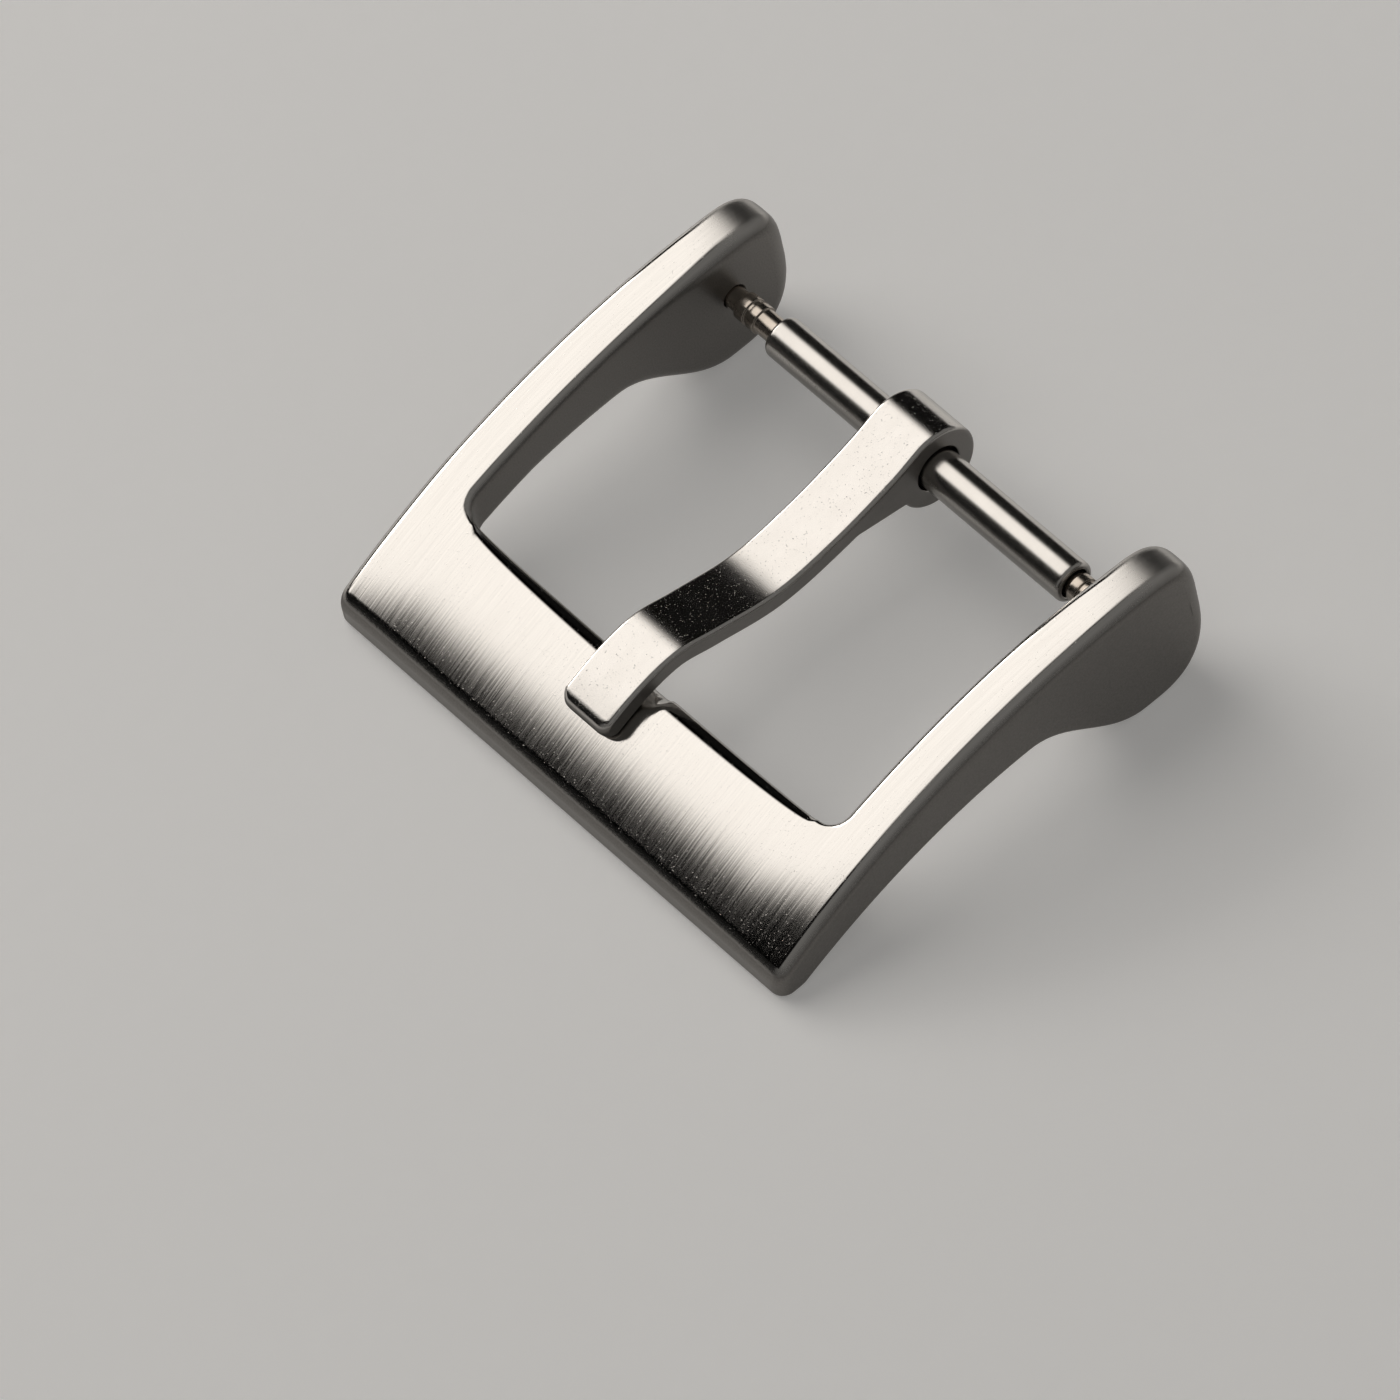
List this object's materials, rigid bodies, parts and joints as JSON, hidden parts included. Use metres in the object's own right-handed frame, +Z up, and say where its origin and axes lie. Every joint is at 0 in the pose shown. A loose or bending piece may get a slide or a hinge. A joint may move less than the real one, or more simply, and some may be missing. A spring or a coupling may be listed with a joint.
{
  "type": "watch buckle",
  "caption": "Tang buckle for a watch strap: U-shaped frame with a wide front bar, a bent tongue over it, and a spring bar held in the lugs.",
  "frame": {"origin": "middle of the footprint, on the plane that the buckle lies on", "axes": "+X along the spring bar, +Y from the front bar to the lugs and the strap, +Z up out of the resting plane"},
  "size_m": [0.0218, 0.0184, 0.0054],
  "materials": {
    "frame_steel": "brushed from front to back",
    "tongue_steel": "fine satin, softened edges",
    "bar_steel": "turned and polished stainless steel",
    "spring_steel": "drawn spring wire"
  },
  "bodies": {
    "frame": {"frame": "frame_steel"},
    "tongue": {"tongue": "tongue_steel"},
    "barrel": {"bar_barrel": "bar_steel", "bar_spring": "spring_steel"},
    "left_plunger": {"left_plunger": "bar_steel"},
    "right_plunger": {"right_plunger": "bar_steel"}
  },
  "joints": [
    {"name": "tongue_swing", "type": "hinge", "parent": "frame", "child": "tongue", "pos_m": [0.00035, 0.0067, 0.00305], "axis": [-1, 0, 0], "range_deg": [0, 180]},
    {"name": "bar_spin", "type": "hinge", "parent": "frame", "child": "barrel", "pos_m": [0.00035, 0.0067, 0.00305], "axis": [1, 0, 0], "continuous": true},
    {"name": "left_plunge", "type": "slide", "parent": "frame", "child": "left_plunger", "axis": [1, 0, 0], "range_m": [0, 0.0007], "stiffness_N_per_m": 700, "springref_m": -0.001, "deforming": ["bar_spring"]},
    {"name": "right_plunge", "type": "slide", "parent": "frame", "child": "right_plunger", "axis": [-1, 0, 0], "range_m": [0, 0.0007], "stiffness_N_per_m": 700, "springref_m": -0.001, "deforming": ["bar_spring"]}
  ]
}
